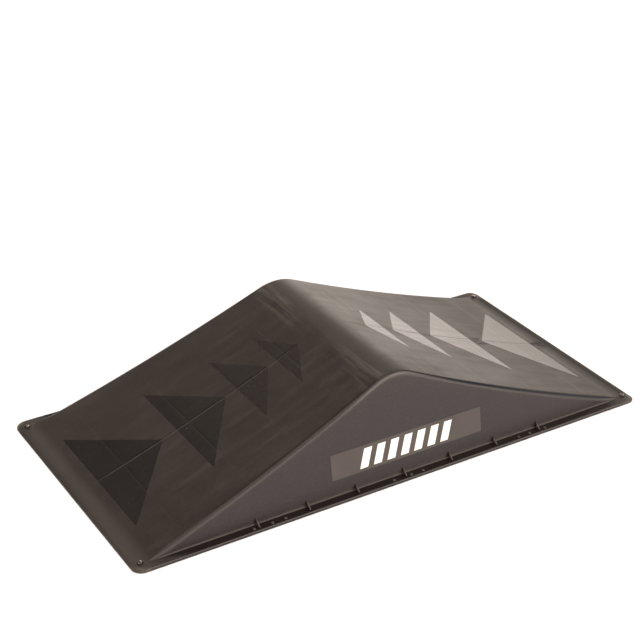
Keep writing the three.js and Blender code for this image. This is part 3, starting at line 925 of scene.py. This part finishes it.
def steel_material():
    """Dark zinc plate, with bright patches painted round the recess of a screw as glints."""
    m = Material("zinc_steel")
    x, y, _ = m.axes(m.place)
    dark = (0.035, 0.032, 0.030, 1)
    cloudy = (0.07, 0.066, 0.063, 1)
    glint_bright = (0.55, 0.52, 0.50, 1)
    colour = m.mix(m.noise(300.0, 3.0, 0.6), dark, cloudy)
    # Painted glints: bright patches round the cross recess.
    ring = m.near(distance_from_screw(m, x, y), 3.1 * MM, 0.8 * MM, 0.6 * MM)
    m.set("Base Color", m.cover(colour, glint_bright, ring, m.remap(m.noise(330.0, 1.0), 0.46, 0.54)))
    m.set("Metallic", 1.0)
    m.set("Roughness", m.remap(m.noise(500.0, 3.0), 0.3, 0.7, 0.18, 0.3))
    return m.material


def floor_material():
    m = Material("pale_floor")
    m.set("Base Color", (0.86, 0.91, 0.99, 1))
    m.set("Roughness", 0.9)
    m.set("Specular IOR Level", 0.0)
    return m.material


def paint(piece, material):
    piece.data.materials.clear()
    piece.data.materials.append(material)


# ---------------------------------------------------------------- light and camera

CAMERA_AZIMUTH, CAMERA_ELEVATION, CAMERA_ROLL = -31.925, 28.028, 0.69  # degrees
CAMERA_PLACE = (-1.5085, -2.3727, 1.7484)
FOCAL_LENGTH = 86.89
SENSOR_WIDTH = 36.0


def make_camera():
    azimuth, elevation, roll = map(math.radians, (CAMERA_AZIMUTH, CAMERA_ELEVATION, CAMERA_ROLL))
    data = bpy.data.cameras.new("camera")
    data.sensor_width = SENSOR_WIDTH
    data.lens = FOCAL_LENGTH
    camera = new_object("camera", data)
    level = math.cos(elevation)
    back = Vector((math.sin(azimuth) * level, -math.cos(azimuth) * level, math.sin(elevation)))
    right = Vector((0, 0, 1)).cross(back).normalized()
    up = back.cross(right)
    turned_right = math.cos(roll) * right + math.sin(roll) * up
    turned_up = -math.sin(roll) * right + math.cos(roll) * up
    place = Matrix((turned_right, turned_up, back)).transposed().to_4x4()
    place.translation = Vector(CAMERA_PLACE)
    camera.matrix_world = place
    bpy.context.scene.camera = camera


PANEL_SOFTNESS = 0.02
PANEL_SIDE_SOFTNESS = 8
ALL_ROUND = 180
LIGHT_COLOUR = (1.19, 1.05, 0.93)
# Low and high edge as sines of elevation, heading in degrees from +Y to +X, half width, level.
PANELS = [
    (None, -0.01, 0, ALL_ROUND, 1.5),  # beyond the floor's edge
    (None, 0.04, 30, 30, 1.85),  # bright horizon behind
    (0.04, 0.2, 38, 16, 1.3),
    (0.2, 0.4, -5, 65, 1.5),  # strip behind
    (0.4, 0.6, -50, 20, 1.9),
    (0.6, 0.8, 30, 30, 1.2),
    (None, 0.8, 140, 20, 3.4),  # tall panel at the front right
    (0.2, 0.4, 222, 62, 1.2),  # large raised panel at the front and left
    (0.4, 0.6, 222, 62, 2.6),
    (0.6, 0.8, 222, 62, 3.7),
    (0.6, 0.8, 90, 30, 1.3),
    (0.92, None, 0, ALL_ROUND, 1.5),  # overhead
]


class Studio(NodeTree):
    """The studio's surroundings as soft panels of light, each a patch of the sky."""

    def __init__(self):
        world = bpy.data.worlds.new("studio")
        bpy.context.scene.world = world
        world.use_nodes = True
        super().__init__(world.node_tree)
        self.background = self.tree.nodes["Background"]
        x, y, self.height = self.axes(self.add("TexCoord", {}).outputs["Generated"])
        self.heading = self.math("ARCTAN2", x, y)

    def step(self, value, place, softness):
        return self.remap(value, place - softness, place + softness)

    def panel(self, low, high, heading, half_width, level):
        """The light of one panel. Without a low or high edge it goes all the way down or up."""
        shape = 1.0 if low is None else self.step(self.height, low, PANEL_SOFTNESS)
        if high is not None:
            shape = self.math("SUBTRACT", shape, self.step(self.height, high, PANEL_SOFTNESS))
        if half_width < ALL_ROUND:
            turn = self.math("COSINE", self.math("SUBTRACT", self.heading, math.radians(heading)))
            away = self.math("ARCCOSINE", self.math("MULTIPLY", turn, 0.99999))
            side = self.step(away, math.radians(half_width), math.radians(PANEL_SIDE_SOFTNESS))
            shape = self.math("MULTIPLY", shape, self.math("SUBTRACT", 1.0, side))
        return self.math("MULTIPLY", shape, level)

    def light_up(self, panels, colour):
        """Lights the scene with the panels, and sets a plain white backdrop behind it."""
        total = self.panel(*panels[0])
        for panel in panels[1:]:
            total = self.math("ADD", total, self.panel(*panel))
        self.put(self.background.inputs["Color"], (*colour, 1))
        self.put(self.background.inputs["Strength"], total)
        backdrop = self.add("Background", {"Color": (1, 1, 1, 1)}).outputs["Background"]
        seen = self.add("LightPath", {}).outputs["Is Camera Ray"]
        choice = self.add("MixShader", {0: seen, 1: self.background.outputs["Background"], 2: backdrop})
        self.put(self.tree.nodes["World Output"].inputs["Surface"], choice.outputs["Shader"])


FLOOR_REACH = 3.8


def make_floor():
    bm = bmesh.new()
    corners = ((-1, -1), (1, -1), (1, 1), (-1, 1))
    bm.faces.new([bm.verts.new((sx * FLOOR_REACH, sy * FLOOR_REACH, 0)) for sx, sy in corners])
    floor = made_of("floor", bm)
    paint(floor, floor_material())


# ---------------------------------------------------------------- assembly

ENDS = (("left", -1), ("right", 1))
FLANKS = (("front", -1), ("back", 1))

plastic = moulding_material()
arrow_film = arrow_material()
label_film = label_material()
label_print = print_material()
rubber = rubber_material()
steel = steel_material()

moulding = make_moulding()
paint(moulding, plastic)
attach(moulding, "root")
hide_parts("ridge_crown")
for end, _ in ENDS:
    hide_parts(f"deck_{end}", f"end_lip_{end}")
for flank, _ in FLANKS:
    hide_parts(f"side_wall_{flank}", f"side_flange_{flank}")

for end, side in ENDS:
    for i, (base, tip, half) in enumerate(ARROWS, 1):
        arrow = make_arrow(f"arrow_{end}_{i}", side, base * MM, tip * MM, half * MM)
        paint(arrow, arrow_film)
        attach(arrow, "root")
        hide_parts(f"arrow_film_{end}_{i}")

for flank, side in FLANKS:
    mirror = -side
    edges = sorted([mirror * LABEL["left"], mirror * LABEL["right"]])
    outline = rounded_box(edges[0], edges[1], LABEL["bottom"], LABEL["top"], LABEL["corner"])
    label = make_wall_plate(f"label_{flank}", [outline], side, FILM_LIFT, FILM_THICKNESS)
    paint(label, label_film)
    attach(label, "root")
    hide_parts(f"side_label_{flank}")
    bars = make_wall_plate(f"label_bars_{flank}", bar_outlines(mirror), side, PRINT_LIFT, PRINT_THICKNESS)
    paint(bars, label_print)
    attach(bars, "root")

for flank, across in FLANKS:
    for end, side in ENDS:
        corner = f"{flank}_{end}"
        screw = make_screw(f"screw_{corner}", side * SCREW_X, across * SCREW_Y)
        paint(screw, steel)
        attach(screw, "root")
        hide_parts(f"corner_screw_{corner}")
        paint(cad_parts[f"foot_nut_{corner}"], steel)
        paint(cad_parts[f"rubber_foot_{corner}"], rubber)

for name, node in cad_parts.items():
    if name.startswith(("cross_rib_", "spine_rib_")):
        paint(node, plastic)

make_floor()
Studio().light_up(PANELS, LIGHT_COLOUR)
make_camera()

view = bpy.context.scene.view_settings
view.view_transform = "Standard"
view.look = "None"
